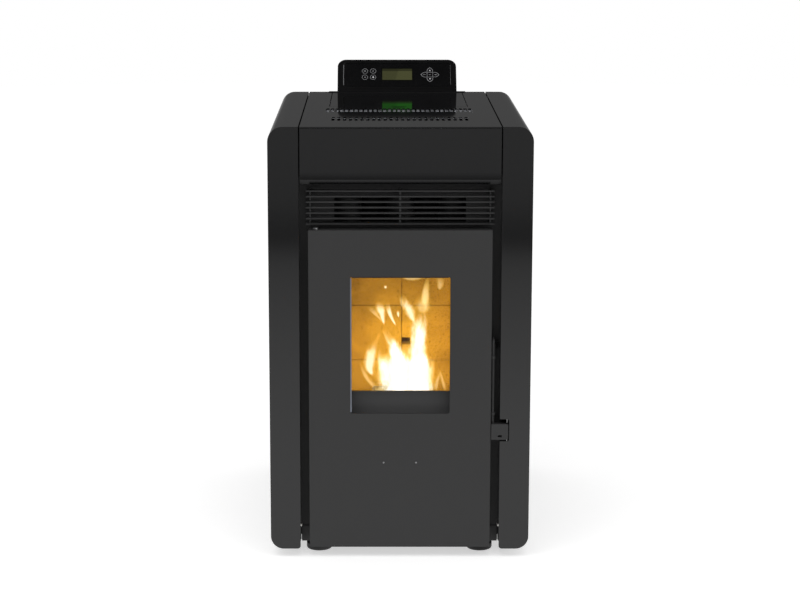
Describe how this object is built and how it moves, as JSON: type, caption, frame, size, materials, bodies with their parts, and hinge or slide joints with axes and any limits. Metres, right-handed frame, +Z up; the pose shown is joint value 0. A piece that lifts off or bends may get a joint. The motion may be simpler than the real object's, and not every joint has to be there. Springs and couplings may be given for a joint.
{
  "type": "pellet stove",
  "caption": "Free-standing pellet stove with a glazed fire door, rounded side casings, slatted warm-air outlet, hopper lid on top and a sloping control panel at the back.",
  "frame": {"origin": "on the floor, at the middle of the footprint from the front of the handle's grip to the end of the flue spigot", "axes": "+Z up, the door faces -Y, +X to the right of someone who faces the door"},
  "size_m": [0.48, 0.701, 0.868],
  "materials": {
    "casing_paint": "satin",
    "door_paint": "satin",
    "top_paint": "satin",
    "fascia_paint": "satin",
    "grille_paint": "satin",
    "inner_paint": "matt",
    "galvanised": "satin",
    "bare_steel": "satin",
    "pin_steel": "polished",
    "rivet_steel": "polished",
    "flue_enamel": "matt",
    "firebox_steel": "matt",
    "pot_iron": "rough",
    "refractory": "matt",
    "stove_glass": "polished",
    "rope": "matt",
    "panel_housing": "gloss",
    "keypad_film": "satin",
    "display_glass": "gloss",
    "board": "satin",
    "inlet_plastic": "satin",
    "switch_plastic": "gloss",
    "foot_plastic": "matt",
    "motor_steel": "satin",
    "fan_aluminium": "satin"
  },
  "bodies": {
    "stove_body": {"left_casing": "casing_paint", "right_casing": "casing_paint", "base_tray": "inner_paint", "side_frames": "galvanised", "body_front": "inner_paint", "top_plate": "top_paint", "lid_hinge_fixed": "top_paint", "front_fascia": "fascia_paint", "air_grille": "grille_paint", "rear_panel": "inner_paint", "firebox": "firebox_steel", "back_tiles": "refractory", "side_tiles": "refractory", "baffle_plate": "refractory", "pot_holder": "pot_iron", "burn_pot": "pot_iron", "igniter": "pin_steel", "exchanger_pipes": "bare_steel", "smoke_collector": "bare_steel", "air_hood": "galvanised", "fume_duct": "bare_steel", "extractor_housing": "bare_steel", "extractor_motor": "motor_steel", "flue_pipe": "flue_enamel", "air_intake": "bare_steel", "blower_housing": "galvanised", "blower_motor": "motor_steel", "auger_tube": "bare_steel", "auger_motor": "motor_steel", "pellet_chute": "bare_steel", "hopper": "galvanised", "hopper_seal": "rope", "hopper_guard": "bare_steel", "control_housing": "panel_housing", "control_panel": "keypad_film", "display_screen": "display_glass", "control_board": "board", "power_inlet": "inlet_plastic", "hinge_upper": "pin_steel", "hinge_lower": "pin_steel", "latch_keeper": "pin_steel"},
    "door": {"door_panel": "door_paint", "door_frame": "inner_paint", "glass_seal": "rope", "door_glass": "stove_glass", "glass_clips": "bare_steel", "door_seal": "rope", "door_rivets": "rivet_steel"},
    "handle": {"door_handle": "door_paint"},
    "lid": {"hopper_lid": "top_paint", "lid_hinge_leaf": "pin_steel"},
    "drawer": {"ash_drawer": "bare_steel"},
    "auger": {"auger_screw": "bare_steel"},
    "extractor_wheel": {"extractor_impeller": "bare_steel"},
    "blower_wheel": {"blower_rotor": "fan_aluminium"},
    "rocker": {"power_switch": "switch_plastic"},
    "front_left_foot": {"foot_front_left": "foot_plastic"},
    "back_left_foot": {"foot_back_left": "foot_plastic"},
    "front_right_foot": {"foot_front_right": "foot_plastic"},
    "back_right_foot": {"foot_back_right": "foot_plastic"}
  },
  "joints": [
    {"name": "door_swing", "type": "hinge", "parent": "stove_body", "child": "door", "pos_m": [-0.1547, -0.3375, 0.3], "axis": [0, 0, -1], "range_deg": [0, 110]},
    {"name": "handle_turn", "type": "hinge", "parent": "door", "child": "handle", "pos_m": [0.1713, -0.3415, 0.32], "axis": [0, 0, 1], "range_deg": [0, 25]},
    {"name": "lid_lift", "type": "hinge", "parent": "stove_body", "child": "lid", "pos_m": [0, 0.272, 0.8046], "axis": [-1, 0, 0], "range_deg": [0, 90]},
    {"name": "drawer_slide", "type": "slide", "parent": "stove_body", "child": "drawer", "axis": [0, -1, 0], "range_m": [0, 0.2]},
    {"name": "auger_spin", "type": "hinge", "parent": "stove_body", "child": "auger", "pos_m": [0, 0.1705, 0.45], "axis": [0, -0.8192, 0.5736], "continuous": true},
    {"name": "extractor_spin", "type": "hinge", "parent": "stove_body", "child": "extractor_wheel", "pos_m": [-0.1095, 0.0455, 0.15], "axis": [1, 0, 0], "continuous": true},
    {"name": "blower_spin", "type": "hinge", "parent": "stove_body", "child": "blower_wheel", "pos_m": [0.049, 0.0405, 0.085], "axis": [1, 0, 0], "continuous": true},
    {"name": "switch_rock", "type": "hinge", "parent": "stove_body", "child": "rocker", "pos_m": [0.153, 0.2852, 0.1], "axis": [-1, 0, 0], "range_deg": [0, 12]},
    {"name": "front_left_foot_turn", "type": "hinge", "parent": "stove_body", "child": "front_left_foot", "pos_m": [-0.151, -0.2905, 0.01], "axis": [0, 0, 1], "continuous": true},
    {"name": "back_left_foot_turn", "type": "hinge", "parent": "stove_body", "child": "back_left_foot", "pos_m": [-0.151, 0.2355, 0.01], "axis": [0, 0, 1], "continuous": true},
    {"name": "front_right_foot_turn", "type": "hinge", "parent": "stove_body", "child": "front_right_foot", "pos_m": [0.151, -0.2905, 0.01], "axis": [0, 0, 1], "continuous": true},
    {"name": "back_right_foot_turn", "type": "hinge", "parent": "stove_body", "child": "back_right_foot", "pos_m": [0.151, 0.2355, 0.01], "axis": [0, 0, 1], "continuous": true}
  ],
  "couplings": [
    {"joint": "drawer_slide", "follows": "door_swing", "m_per_rad": 0.104}
  ]
}
